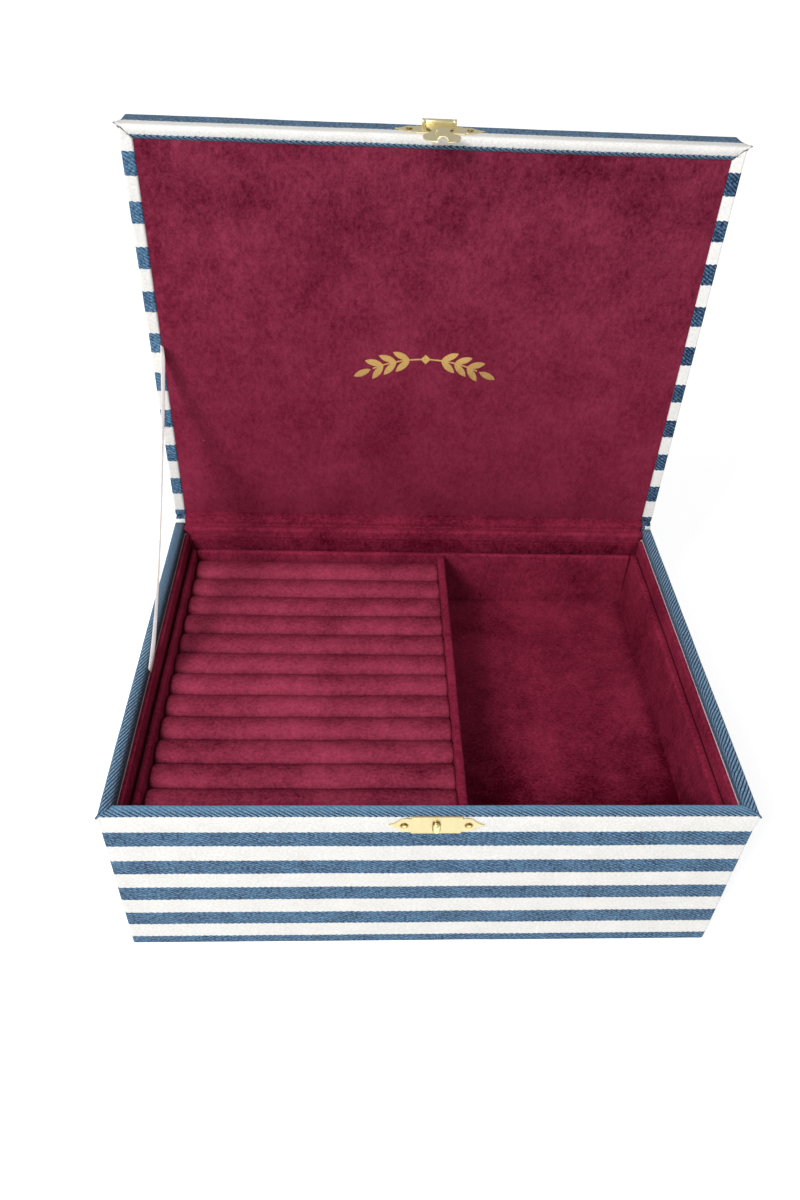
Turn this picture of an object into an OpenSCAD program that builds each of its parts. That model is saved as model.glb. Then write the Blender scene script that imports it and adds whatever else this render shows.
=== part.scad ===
// Cloth-covered jewelry gift box: a deep base, a padded lid that stands open at rest, a lift-out
// tray with ring rolls, and a brass hasp clasp. Millimetres. The origin is the centre of the
// base's underside, +Z is up, and the clasp is at the front, towards -Y.

/* [Box] */
// Outer width of base and lid
box_w = 260; // [220:1:300]
// Outer depth of the base, front to back
box_d = 192; // [170:1:230]
// Height of the base, without the lid
base_h = 93; // [88:1:110]
// Length of the lid from its hinge edge to its front edge
lid_l = 192.6; // [170.6:1:230.6]
// Thickness of the lid
lid_t = 16; // [14:1:20]
// Gap between the base's rim and the closed lid
close_gap = 0.4; // [0.3:0.1:0.8]
// Distance from the hinge's axis to the cloth of the base's back and of the lid's hinge edge
hinge_r = 2.26; // [2.2:0.02:3.0]

/* [Board and cloth] */
// Thickness of the grey board walls
board_t = 4; // [3:0.5:4]
// Thickness of the striped cloth with its glue and turned-in paper
cloth_t = 0.8; // [0.6:0.1:0.8]
// Depth of the cloth that is turned over the rim and down inside
turn_in = 20; // [12:1:24]
// Thickness of the cream lining card
card_t = 0.9; // [0.6:0.1:1.0]
// Thickness of the suede with its felt backing
suede_t = 1.3; // [1.0:0.1:1.4]
// Distance from the rim down to the top edge of the wall linings
lining_drop = 3.5; // [3:0.5:6]

/* [Tray] */
// Clearance between the tray and the side linings
tray_gap_x = 1.2; // [1:0.1:3.5]
// Clearance between the tray and the front and back linings
tray_gap_y = 2; // [1.5:0.1:3]
// Height of the tray
tray_h = 34.4; // [30:0.2:38]
// Distance from the base's rim down to the tray's rim
tray_drop = 10; // [8:0.5:12]
// Thickness of the tray's walls and floor
tray_t = 3; // [2:0.5:3.5]
// Thickness of the divider
divider_t = 4; // [3:0.5:5]
// Middle of the divider, from the middle of the box
divider_x = 13.3; // [0:0.1:20]
// Length that each ring roll stops short of the divider and of the tray's left wall
roll_end_gap = 0.8; // [0.5:0.1:2]
// Gap between neighbouring rolls
roll_gap = 0.2; // [0.2:0.1:0.6]
// Distance from the tray's rim down to the top of the rolls
roll_drop = 3; // [2:0.5:5]
// Width of the ledges that hold the tray
ledge_t = 5.2; // [4:0.1:7]

/* [Clasp] */
// Middle of the clasp, from the middle of the box
clasp_x = 1; // [-5:0.5:5]
// Thickness of the brass sheet
brass_t = 0.6; // [0.5:0.1:0.8]
// Width of each plate's straight middle
plate_w = 20.3; // [18:0.1:22]
// Height of each plate
plate_h = 10.4; // [10:0.2:12]
// Distance from the middle of a plate to its pointed tip
plate_tip = 18.9; // [17:0.1:20]
// Distance between the two nails of a plate
nail_span = 25.5; // [24:0.5:27]
// Radius of the hasp's rolled barrel
barrel_r = 1.3; // [1.2:0.1:1.6]
// Radius of the hinge pin
pin_r = 0.55; // [0.5:0.05:0.6]
// Width of the hasp's barrel
barrel_w = 11.4; // [10:0.2:16]
// Length of the hasp flap past the lid's rim
flap_reach = 15.4; // [14:0.1:17]

/* [Ribbon] */
// Width of the ribbon stay
ribbon_w = 10; // [8:1:14]
// Thickness of the ribbon stay
ribbon_t = 0.5; // [0.4:0.1:0.8]
// Place of the ribbon's lower end, from the middle of the box's depth
ribbon_y = -10; // [-20:1:10]
// Height of the ribbon's upper end above the lid's hinge edge
ribbon_l = 94; // [80:1:110]
// Sag of the ribbon at its middle
ribbon_sag = 12; // [2:1:16]

/* [Hidden] */

$fn = 48;
eps = 0.01;

// Colours
denim = [0.30, 0.44, 0.56];
cream = [0.93, 0.92, 0.88];
suede = [0.42, 0.08, 0.19];
grey_board = [0.62, 0.60, 0.57];
brass = [0.85, 0.76, 0.47];
gold = [0.83, 0.66, 0.32];
foam = [0.80, 0.78, 0.74];

// Base: half sizes and wall layers, from the outside in
half_w = box_w / 2;
half_d = box_d / 2;
wall_t = board_t + 2 * cloth_t;
in_w = half_w - wall_t;
in_d = half_d - wall_t;
card_w = in_w - card_t;
card_d = in_d - card_t;
room_w = card_w - suede_t;
room_d = card_d - suede_t;
board_top = base_h - cloth_t;
bottom_z = cloth_t + board_t;
lining_top = base_h - lining_drop;
floor_t = 2.2;
floor_z = bottom_z + floor_t;

// Hinge axis, and the lid's own frame: its hinge edge stands hinge_r above the axis
hinge_y = half_d + hinge_r;
hinge_z = base_h + close_gap;
lid_z = hinge_z + hinge_r;
lid_top = lid_z + lid_l;
back_rail_t = 2.6;
pad_recess = 0.4;
pad_t = 1.4;
lid_card_t = 1.2;
pad_side_gap = 0.2;

// Tray
tray_w = room_w - tray_gap_x;
tray_d = room_d - tray_gap_y;
tray_top = base_h - tray_drop;
tray_z = tray_top - tray_h;
tray_floor_z = tray_z + tray_t;
tray_in_w = tray_w - tray_t;
tray_in_d = tray_d - tray_t;
divider_lo = divider_x - divider_t / 2;
divider_hi = divider_x + divider_t / 2;
roll_n = 12;
roll_pitch = 2 * tray_in_d / roll_n;
roll_r = roll_pitch / 2 - roll_gap / 2;
roll_z = tray_top - roll_drop - roll_r;
bed_top = roll_z - roll_r - 0.1;
bed_gap = 0.4;
ledge_top = tray_z - 0.2;

// Clasp
plate_edge_gap = 0.2;
plate_z = base_h - plate_edge_gap - plate_h / 2;
lid_plate_y = hinge_y + 6.6;
lobe_r = 4.3;
lobe_x = 11.7;
tip_cut_r = 9;
tip_cut_bite = 0.15;
notch_r = 0.8;
notch_x = 10.7;
notch_y = plate_h / 2 - 0.3;
nail_r = 0.6;
nail_hole_r = 0.65;
nail_head_r = 1.4;
nail_head_h = 0.8;
nail_dome_r = (nail_head_r * nail_head_r + nail_head_h * nail_head_h) / (2 * nail_head_h);
nail_len = 4.4;
catch_r = 1.65;
catch_h = 5.9;
catch_lift = 0.5;
catch_z = 86.9;
pin_gap = 0.08;
pivot_y = lid_plate_y + plate_h / 2;
pivot_z = lid_top + brass_t + 0.2 + barrel_r;
ear_w = 1.4;
ear_gap = 0.2;
flap_z = lid_top + brass_t + 0.3;
waist_cut_r = 6.5;
waist_half = 3.8;
waist_y = hinge_y + 1.5;
channel_r = 2;
channel_wall = 0.6;
channel_top_y = hinge_y - 3.1;
foot_r = 7.8;
foot_y = hinge_y - flap_reach + foot_r;

// Ribbon
ribbon_x = -(in_w - 0.5);
ribbon_low = [ribbon_y, lining_top + 0.3];
ribbon_high = [hinge_y - 0.3, lid_z + ribbon_l];
ribbon_steps = 16;

// A box from its lowest and highest corner
module span(low, high) {
    translate(low)
        cube(high - low);
}

// Two mirrored nail positions on a plate
module at_nails() {
    for (side = [-1, 1])
        translate([clasp_x + side * nail_span / 2, 0, 0])
            children();
}

// ---- Base boards ----

module bottom_board() {
    color(grey_board)
        span([-half_w + cloth_t, -half_d + cloth_t, cloth_t],
             [half_w - cloth_t, half_d - cloth_t, bottom_z]);
}

module front_board() {
    color(grey_board)
        difference() {
            span([-half_w + cloth_t, -half_d + cloth_t, bottom_z],
                 [half_w - cloth_t, -half_d + cloth_t + board_t, board_top]);
            base_nail_holes();
        }
}

module back_board() {
    color(grey_board)
        span([-half_w + cloth_t, half_d - cloth_t - board_t, bottom_z],
             [half_w - cloth_t, half_d - cloth_t, board_top]);
}

module side_board() {
    color(grey_board)
        span([half_w - cloth_t - board_t, -half_d + cloth_t + board_t, bottom_z],
             [half_w - cloth_t, half_d - cloth_t - board_t, board_top]);
}

module right_board() {
    side_board();
}

module left_board() {
    mirror([1, 0, 0])
        side_board();
}

// ---- Base coverings ----

// Front and sides in one strip, over the rim and down inside
module base_wrap_cloth() {
    color(denim)
        difference() {
            span([-half_w, -half_d, 0], [half_w, half_d, base_h]);
            // where the boards stand
            difference() {
                span([-half_w + cloth_t, -half_d + cloth_t, -eps],
                     [half_w - cloth_t, half_d + eps, board_top]);
                turn_in_ring();
            }
            // the open inside
            span([-in_w, -in_d, -eps], [in_w, half_d + eps, base_h + eps]);
            base_nail_holes();
        }
}

// The cloth inside the walls, under the rim
module turn_in_ring() {
    span([-in_w - cloth_t, -in_d - cloth_t, board_top - turn_in],
         [in_w + cloth_t, in_d + cloth_t, board_top + eps]);
}

module base_back_cloth() {
    color(denim) {
        span([-half_w + cloth_t, half_d - cloth_t, 0], [half_w - cloth_t, half_d, board_top]);
        span([-in_w, half_d - cloth_t, board_top - eps], [in_w, half_d, base_h]);
    }
}

module underside_sheet() {
    color(cream)
        span([-half_w + cloth_t, -half_d + cloth_t, 0], [half_w - cloth_t, half_d - cloth_t, cloth_t]);
}

// ---- Linings ----

module lining_card_side() {
    color(cream)
        span([card_w, -in_d, bottom_z], [in_w, in_d, lining_top]);
}

module lining_card_right() {
    lining_card_side();
}

module lining_card_left() {
    mirror([1, 0, 0])
        lining_card_side();
}

module lining_card_back() {
    color(cream)
        span([-card_w, card_d, bottom_z], [card_w, in_d, lining_top]);
}

module lining_card_front() {
    mirror([0, 1, 0])
        lining_card_back();
}

module lining_side() {
    color(suede)
        span([room_w, -card_d, bottom_z], [card_w, card_d, lining_top]);
}

module lining_right() {
    lining_side();
}

module lining_left() {
    mirror([1, 0, 0])
        lining_side();
}

module lining_back() {
    color(suede)
        span([-room_w, room_d, bottom_z], [room_w, card_d, lining_top]);
}

module lining_front() {
    mirror([0, 1, 0])
        lining_back();
}

module floor_lining() {
    color(suede)
        span([-room_w, -room_d, bottom_z], [room_w, room_d, floor_z]);
}

module tray_ledge() {
    color(suede)
        span([room_w - ledge_t, -room_d, floor_z], [room_w, room_d, ledge_top]);
}

module tray_ledge_right() {
    tray_ledge();
}

module tray_ledge_left() {
    mirror([1, 0, 0])
        tray_ledge();
}

// ---- Cloth hinge ----

// A quarter ring round the hinge's axis, seen along X
module hinge_arc(low_r, high_r) {
    intersection() {
        difference() {
            circle(high_r);
            circle(low_r);
        }
        translate([-high_r, 0])
            square(high_r);
    }
}

// Extrudes an outline drawn in Y and Z along the width of the box
module along_x(half_length) {
    translate([-half_length, 0, 0])
        rotate([90, 0, 90])
            linear_extrude(2 * half_length)
                children();
}

// The striped cloth that joins the base's back to the lid's hinge edge
module hinge_cloth() {
    color(denim)
        along_x(half_w - cloth_t)
            translate([hinge_y, hinge_z]) {
                hinge_arc(hinge_r, hinge_r + cloth_t);
                translate([-hinge_r - cloth_t, -close_gap])
                    square([cloth_t, close_gap]);
            }
}

// The suede strip on the inside: down the back wall, over its rim, round the hinge, up the lid
module hinge_suede() {
    inner_r = hinge_r + cloth_t;
    rim_back = half_d - cloth_t;
    color(suede)
        along_x(in_w) {
            translate([in_d, board_top - turn_in])
                square([cloth_t, turn_in + cloth_t]);
            translate([in_d, board_top])
                square([rim_back - in_d, cloth_t]);
            translate([hinge_y - inner_r - cloth_t, board_top])
                square([cloth_t, hinge_z - board_top]);
            translate([hinge_y, hinge_z])
                hinge_arc(inner_r, inner_r + cloth_t);
            translate([hinge_y, lid_z + cloth_t])
                square([cloth_t, back_rail_t]);
        }
}

// ---- Ribbon stay ----

// A point of the ribbon's middle line at share s of its way, with a parabola's sag
function ribbon_point(s) = ribbon_low + (ribbon_high - ribbon_low) * s
    + [0, -4 * ribbon_sag * s * (1 - s)];

// From the ribbon's middle line to its upper edge, square to a slope of 45 degrees
ribbon_side = ribbon_w / 2 * [-1, 1] / sqrt(2);

// Runs past both ends, and is cut level with the lining below and with the lid's rim above
module ribbon_stay() {
    steps = [-1:ribbon_steps + 1];
    lower = [for (i = steps) ribbon_point(i / ribbon_steps) - ribbon_side];
    upper = [for (i = steps) ribbon_point(1 - i / ribbon_steps) + ribbon_side];
    color(cream)
        translate([ribbon_x, 0, 0])
            intersection() {
                along_x(ribbon_t / 2)
                    polygon(concat(lower, upper));
                span([-ribbon_t, -half_d, ribbon_low[1]], [ribbon_t, ribbon_high[0], lid_top]);
            }
}

// ---- Lid ----
// The lid stands open: its rim plane is at hinge_y and its outer face at hinge_y + lid_t.

module lid_board() {
    color(grey_board)
        span([-half_w + cloth_t, hinge_y + lid_t - cloth_t - board_t, lid_z + cloth_t],
             [half_w - cloth_t, hinge_y + lid_t - cloth_t, lid_top - cloth_t]);
}

// A rail of the lid's frame between two heights, in front of the lid's board
module lid_rail(x_low, x_high, z_low, z_high) {
    span([x_low, hinge_y + cloth_t, z_low],
         [x_high, hinge_y + lid_t - cloth_t - board_t, z_high]);
}

module lid_rail_front() {
    color(grey_board)
        difference() {
            lid_rail(-half_w + cloth_t, half_w - cloth_t,
                     lid_top - cloth_t - board_t, lid_top - cloth_t);
            lid_nail_holes();
        }
}

module lid_rail_back() {
    color(grey_board)
        lid_rail(-half_w + cloth_t, half_w - cloth_t,
                 lid_z + cloth_t, lid_z + cloth_t + back_rail_t);
}

module lid_rail_right() {
    color(grey_board)
        lid_rail(half_w - cloth_t - board_t, half_w - cloth_t,
                 lid_z + cloth_t + back_rail_t, lid_top - cloth_t - board_t);
}

module lid_rail_left() {
    mirror([1, 0, 0])
        lid_rail_right();
}

// The lid's covering in one piece: outer face, four edges, rim, and the turn-in under the panel
module lid_wrap_cloth() {
    rim_front = lid_top - wall_t;
    color(denim)
        difference() {
            span([-half_w, hinge_y, lid_z], [half_w, hinge_y + lid_t, lid_top]);
            // where the board and the rails are
            difference() {
                span([-half_w + cloth_t, hinge_y + cloth_t, lid_z + cloth_t],
                     [half_w - cloth_t, hinge_y + lid_t - cloth_t, lid_top - cloth_t]);
                lid_turn_in();
            }
            // the open inside of the frame
            span([-in_w, hinge_y - eps, lid_z + cloth_t + back_rail_t],
                 [in_w, hinge_y + lid_t - cloth_t - board_t, rim_front]);
            // the hinge strip's place on the hinge rail
            span([-in_w, hinge_y - eps, lid_z + cloth_t],
                 [in_w, hinge_y + cloth_t, rim_front]);
            lid_nail_holes();
        }
}

// The cloth on the inner faces of the front and side rails
module lid_turn_in() {
    difference() {
        span([-in_w - cloth_t, hinge_y, lid_z + cloth_t + back_rail_t],
             [in_w + cloth_t, hinge_y + lid_t - cloth_t - board_t, lid_top - wall_t + cloth_t]);
        span([-in_w, hinge_y - eps, lid_z],
             [in_w, hinge_y + lid_t, lid_top - wall_t]);
    }
}

// A layer of the padded panel between two distances from the rim plane
module lid_layer(t_low, t_high, z_low) {
    span([-in_w + pad_side_gap, hinge_y + t_low, z_low],
         [in_w - pad_side_gap, hinge_y + t_high, lid_top - wall_t - pad_side_gap]);
}

module lid_foam() {
    color(foam)
        lid_layer(pad_recess + pad_t + lid_card_t, lid_t - cloth_t - board_t,
                  lid_z + cloth_t + back_rail_t + pad_side_gap);
}

module lid_lining_card() {
    color(grey_board)
        lid_layer(pad_recess + pad_t, pad_recess + pad_t + lid_card_t,
                  lid_z + cloth_t + back_rail_t + pad_side_gap);
}

module lid_lining_pad() {
    color(suede)
        lid_layer(pad_recess, pad_recess + pad_t, lid_z + cloth_t + back_rail_t + pad_side_gap);
}

// ---- Gold sprig on the lid's panel ----

foil_t = 0.12;
sprig_z = lid_z + 94;
leaf_len = 9;
leaf_w = 3.2;
leaf_n = 4;
stem_w = 0.7;
stem_r = 62;

// A pointed leaf along +X from the origin, the space shared by two equal circles
module leaf_outline() {
    r = (leaf_len * leaf_len + leaf_w * leaf_w) / (4 * leaf_w);
    translate([leaf_len / 2, 0])
        intersection() {
            translate([0, r - leaf_w / 2])
                circle(r);
            translate([0, leaf_w / 2 - r])
                circle(r);
        }
}

// Half of the sprig, to the right: an arched stem with paired leaves and a leaf at its end
module sprig_half() {
    stem_turn = 24;
    translate([0, -stem_r]) {
        intersection() {
            difference() {
                circle(stem_r + stem_w / 2, $fn = 96);
                circle(stem_r - stem_w / 2, $fn = 96);
            }
            polygon([[0, 0], [0, stem_r + 5], [(stem_r + 5) * tan(stem_turn), stem_r + 5]]);
        }
        for (i = [1:leaf_n])
            rotate(-i * stem_turn / leaf_n - 1)
                translate([0, stem_r])
                    if (i < leaf_n) {
                        rotate(32)
                            leaf_outline();
                        rotate(-36)
                            leaf_outline();
                    } else {
                        leaf_outline();
                    }
    }
}

module foil_sprig() {
    color(gold)
        translate([0, hinge_y + pad_recess, sprig_z])
            rotate([90, 0, 0])
                linear_extrude(foil_t) {
                    sprig_half();
                    mirror([1, 0])
                        sprig_half();
                    rotate(45)
                        square(3.4, center = true);
                }
}

// ---- Clasp ----

// A lobe towards +X whose hollow sides, two arcs cut by circles, meet at the plate's tip
module lobe_outline() {
    reach = plate_tip - lobe_x;
    gap = lobe_r + tip_cut_r - tip_cut_bite;
    cut_x = (gap * gap - tip_cut_r * tip_cut_r + reach * reach) / (2 * reach);
    cut_y = sqrt(gap * gap - cut_x * cut_x);
    root_h = 1.2 * lobe_r;
    translate([lobe_x, 0])
        difference() {
            union() {
                circle(lobe_r);
                translate([0, -root_h / 2])
                    square([cut_x, root_h]);
            }
            for (side = [-1, 1])
                translate([cut_x, side * cut_y])
                    circle(tip_cut_r);
        }
}

// The plate's outline: a straight middle, a notch at each corner of it, and two pointed lobes
module plate_outline() {
    difference() {
        union() {
            square([plate_w, plate_h], center = true);
            lobe_outline();
            mirror([1, 0])
                lobe_outline();
        }
        for (side_x = [-1, 1], side_y = [-1, 1])
            translate([side_x * notch_x, side_y * notch_y])
                circle(notch_r);
    }
}

// Puts a plate's outline, drawn in X and Y, on the base's front
module on_base_front() {
    translate([clasp_x, -half_d, plate_z])
        rotate([90, 0, 0])
            children();
}

// Puts a plate's outline on the lid's front edge, which faces up while the lid is open
module on_lid_front() {
    translate([clasp_x, lid_plate_y, lid_top])
        children();
}

module base_nail_holes() {
    at_nails()
        translate([0, -half_d + nail_len, plate_z])
            rotate([90, 0, 0])
                cylinder(h = nail_len + brass_t + eps, r = nail_hole_r);
}

module lid_nail_holes() {
    at_nails()
        translate([0, lid_plate_y, lid_top - nail_len])
            cylinder(h = nail_len + brass_t + eps, r = nail_hole_r);
}

// A nail that points down, with the underside of its head at the origin
module nail() {
    nail_shank = nail_len + brass_t - 0.2;
    translate([0, 0, -nail_shank])
        cylinder(h = nail_shank + eps, r = nail_r);
    intersection() {
        translate([0, 0, nail_head_h - nail_dome_r])
            sphere(nail_dome_r);
        translate([0, 0, nail_dome_r])
            cube(2 * nail_dome_r, center = true);
    }
}

module clasp_base_plate() {
    color(brass)
        difference() {
            on_base_front()
                linear_extrude(brass_t)
                    plate_outline();
            base_nail_holes();
        }
}

module clasp_base_nails() {
    color(brass)
        at_nails()
            translate([0, -half_d - brass_t, plate_z])
                rotate([90, 0, 0])
                    nail();
}

// The raised rib that the hasp's channel drops over
module clasp_catch() {
    straight = catch_h - 2 * catch_r;
    color(brass)
        translate([clasp_x, -half_d - brass_t, catch_z])
            rotate([90, 0, 0]) {
                linear_extrude(catch_lift) {
                    square([2 * catch_r, straight], center = true);
                    for (side = [-1, 1])
                        translate([0, side * straight / 2])
                            circle(catch_r);
                }
                translate([0, 0, catch_lift])
                    intersection() {
                        union() {
                            rotate([90, 0, 0])
                                cylinder(h = straight, r = catch_r, center = true);
                            for (side = [-1, 1])
                                translate([0, side * straight / 2, 0])
                                    sphere(catch_r);
                        }
                        translate([0, 0, catch_h / 2])
                            cube(catch_h, center = true);
                    }
            }
}

module clasp_lid_plate() {
    color(brass)
        difference() {
            union() {
                on_lid_front()
                    linear_extrude(brass_t)
                        plate_outline();
                for (side = [-1, 1])
                    translate([clasp_x + side * (barrel_w / 2 + ear_gap + ear_w / 2), pivot_y, 0]) {
                        translate([0, 0, pivot_z])
                            rotate([0, 90, 0])
                                cylinder(h = ear_w, r = barrel_r, center = true);
                        translate([-ear_w / 2, -barrel_r, lid_top])
                            cube([ear_w, 2 * barrel_r, pivot_z - lid_top]);
                    }
            }
            lid_nail_holes();
            pin_hole(0.02);
        }
}

// A round hole along the pin, wider than the pin by this clearance
module pin_hole(clearance) {
    translate([clasp_x, pivot_y, pivot_z])
        rotate([0, 90, 0])
            cylinder(h = barrel_w + 4 * ear_w, r = pin_r + clearance, center = true);
}

module clasp_pin() {
    color(brass)
        translate([clasp_x, pivot_y, pivot_z])
            rotate([0, 90, 0])
                cylinder(h = barrel_w + 2 * (ear_gap + ear_w), r = pin_r, center = true);
}

module clasp_lid_nails() {
    color(brass)
        at_nails()
            translate([0, lid_plate_y, lid_top + brass_t])
                nail();
}

// The flap's outline, seen from above while it lies on the lid's plate
module flap_outline() {
    difference() {
        union() {
            translate([clasp_x - barrel_w / 2, foot_y])
                square([barrel_w, pivot_y - foot_y]);
            translate([clasp_x, foot_y])
                circle(foot_r);
        }
        for (side = [-1, 1])
            translate([clasp_x + side * (waist_half + waist_cut_r), waist_y])
                circle(waist_cut_r);
    }
}

// A half round bar along the channel, open towards the lid's edge and rounded at its other end
module channel_bar(r, past_end) {
    translate([clasp_x, channel_top_y, flap_z]) {
        rotate([90, 0, 0])
            cylinder(h = channel_top_y - (hinge_y - flap_reach) + past_end, r = r);
        sphere(r);
    }
}

module hasp_flap() {
    color(brass)
        difference() {
            union() {
                translate([0, 0, flap_z])
                    linear_extrude(brass_t)
                        flap_outline();
                translate([clasp_x, pivot_y, pivot_z])
                    rotate([0, 90, 0])
                        cylinder(h = barrel_w, r = barrel_r, center = true);
                intersection() {
                    channel_bar(channel_r + channel_wall, -1);
                    translate([0, 0, flap_z])
                        span([-half_w, 0, 0], [half_w, 2 * half_d, 2 * foot_r]);
                }
            }
            channel_bar(channel_r, 1);
            pin_hole(pin_gap);
        }
}

// ---- Tray ----

module tray_floor() {
    color(suede)
        span([-tray_in_w, -tray_in_d, tray_z], [tray_in_w, tray_in_d, tray_floor_z]);
}

module tray_side() {
    color(suede)
        span([tray_in_w, -tray_d, tray_z], [tray_w, tray_d, tray_top]);
}

module tray_right() {
    tray_side();
}

module tray_left() {
    mirror([1, 0, 0])
        tray_side();
}

module tray_back() {
    color(suede)
        span([-tray_in_w, tray_in_d, tray_z], [tray_in_w, tray_d, tray_top]);
}

module tray_front() {
    mirror([0, 1, 0])
        tray_back();
}

module tray_divider() {
    color(suede)
        span([divider_lo, -tray_in_d, tray_floor_z], [divider_hi, tray_in_d, tray_top]);
}

module ring_bed() {
    color(foam)
        span([-tray_in_w + bed_gap, -tray_in_d + bed_gap, tray_floor_z],
             [divider_lo - bed_gap, tray_in_d - bed_gap, bed_top]);
}

// Roll number i, counted from the back, with a rounded left end
module ring_roll(i) {
    low_x = -tray_in_w + roll_end_gap + roll_r;
    high_x = divider_lo - roll_end_gap;
    color(suede)
        translate([0, tray_in_d - (i - 0.5) * roll_pitch, roll_z]) {
            translate([low_x, 0, 0])
                rotate([0, 90, 0])
                    cylinder(h = high_x - low_x, r = roll_r);
            translate([low_x, 0, 0])
                sphere(roll_r);
        }
}

bottom_board();
front_board();
back_board();
left_board();
right_board();
base_wrap_cloth();
base_back_cloth();
underside_sheet();
lining_card_front();
lining_card_back();
lining_card_left();
lining_card_right();
lining_front();
lining_back();
lining_left();
lining_right();
floor_lining();
tray_ledge_left();
tray_ledge_right();
clasp_base_plate();
clasp_catch();
clasp_base_nails();
hinge_cloth();
hinge_suede();
ribbon_stay();
lid_board();
lid_rail_front();
lid_rail_back();
lid_rail_left();
lid_rail_right();
lid_wrap_cloth();
lid_foam();
lid_lining_card();
lid_lining_pad();
foil_sprig();
clasp_lid_plate();
clasp_pin();
clasp_lid_nails();
hasp_flap();
tray_floor();
tray_front();
tray_back();
tray_left();
tray_right();
tray_divider();
ring_bed();
for (i = [1:roll_n])
    ring_roll(i);
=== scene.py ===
import math

import bmesh
import bpy
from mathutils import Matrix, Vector, noise
from mathutils.bvhtree import BVHTree


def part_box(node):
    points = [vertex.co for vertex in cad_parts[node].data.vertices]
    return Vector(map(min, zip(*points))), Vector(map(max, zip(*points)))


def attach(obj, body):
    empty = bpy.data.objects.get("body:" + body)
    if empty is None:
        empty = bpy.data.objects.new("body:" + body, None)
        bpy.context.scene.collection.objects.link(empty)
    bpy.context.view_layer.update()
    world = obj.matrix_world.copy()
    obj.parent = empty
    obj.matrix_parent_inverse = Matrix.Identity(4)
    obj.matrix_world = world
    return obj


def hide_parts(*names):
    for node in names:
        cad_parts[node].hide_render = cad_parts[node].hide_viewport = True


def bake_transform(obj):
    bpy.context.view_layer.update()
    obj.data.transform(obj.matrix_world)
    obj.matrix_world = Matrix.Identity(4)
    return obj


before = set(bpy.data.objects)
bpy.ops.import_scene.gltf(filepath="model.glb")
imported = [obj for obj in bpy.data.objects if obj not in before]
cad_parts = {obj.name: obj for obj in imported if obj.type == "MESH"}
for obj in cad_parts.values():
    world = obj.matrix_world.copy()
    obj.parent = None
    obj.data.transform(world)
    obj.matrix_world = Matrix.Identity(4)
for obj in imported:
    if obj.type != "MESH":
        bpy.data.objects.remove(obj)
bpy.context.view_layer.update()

# ---- Sizes, in metres ----

MM = 0.001
CLOTH_T = 0.7 * MM
FOLD_R = 1.0 * MM

base_low, base_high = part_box("base_wrap_cloth")
lid_low, lid_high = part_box("lid_wrap_cloth")
HALF_W = base_high.x
HALF_D = -base_low.y
BASE_H = base_high.z
WALL_T = base_high.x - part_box("hinge_suede")[1].x
TURN_IN_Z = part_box("hinge_suede")[0].z
RIM_Y = lid_low.y
LID_Z = lid_low.z
LID_L = lid_high.z - lid_low.z
LID_T = lid_high.y - lid_low.y
HINGE_Y = RIM_Y
HINGE_Z = LID_Z - (HINGE_Y - HALF_D)


# ---- Mesh helpers ----

def clamp(value):
    """The value, held between 0 and 1."""
    return min(1.0, max(0.0, value))


def set_all(target, **settings):
    """Sets properties, and gives back what they belong to."""
    for key, value in settings.items():
        setattr(target, key, value)
    return target


def add_object(name, data):
    """A new object in the scene."""
    made = bpy.data.objects.new(name, data)
    bpy.context.scene.collection.objects.link(made)
    return made


def make_object(name, points, faces, uvs=None, **marks):
    """A mesh object from points and faces, with one cloth coordinate pair per face corner. Each mark is
    a list with one number for every point, which the material reads by the mark's name."""
    mesh = bpy.data.meshes.new(name)
    mesh.from_pydata([tuple(p) for p in points], [], faces)
    for mark, values in marks.items():
        mesh.attributes.new(mark, "FLOAT", "POINT").data.foreach_set("value", values)
    if uvs:
        flat = [number for face in uvs for pair in face for number in pair]
        mesh.uv_layers.new(name="cloth").data.foreach_set("uv", flat)
    bm = bmesh.new()
    bm.from_mesh(mesh)
    bmesh.ops.remove_doubles(bm, verts=bm.verts, dist=0.004 * MM)
    bmesh.ops.dissolve_degenerate(bm, edges=bm.edges, dist=0.001 * MM)
    if not uvs:
        bmesh.ops.recalc_face_normals(bm, faces=bm.faces)
    for face in bm.faces:
        face.smooth = True
    bm.to_mesh(mesh)
    bm.free()
    return add_object(name, mesh)


def finish_piece(piece, body, material, slot, *nodes):
    """Puts a piece on its body, gives it its material, and hides the CAD nodes that it stands for."""
    piece.data.materials.clear()
    piece.data.materials.append(material)
    if body:
        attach(piece, body)
    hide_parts(*nodes)
    return piece


def dress(material, *nodes):
    """Gives a material to CAD nodes whose shapes stay."""
    for name in nodes:
        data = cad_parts[name].data
        data.materials.clear()
        data.materials.append(material)


def wave(point, size, seed):
    """Smooth noise from -1 to 1 whose bumps are about this size."""
    return noise.noise(Vector(point) / size + Vector((seed, seed * 1.7, -seed)))


def lines_between(low, high, step):
    """Evenly spaced numbers from low to high, no further apart than step."""
    count = max(1, math.ceil((high - low) / step - 1e-6))
    return [low + (high - low) * i / count for i in range(count + 1)]


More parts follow.
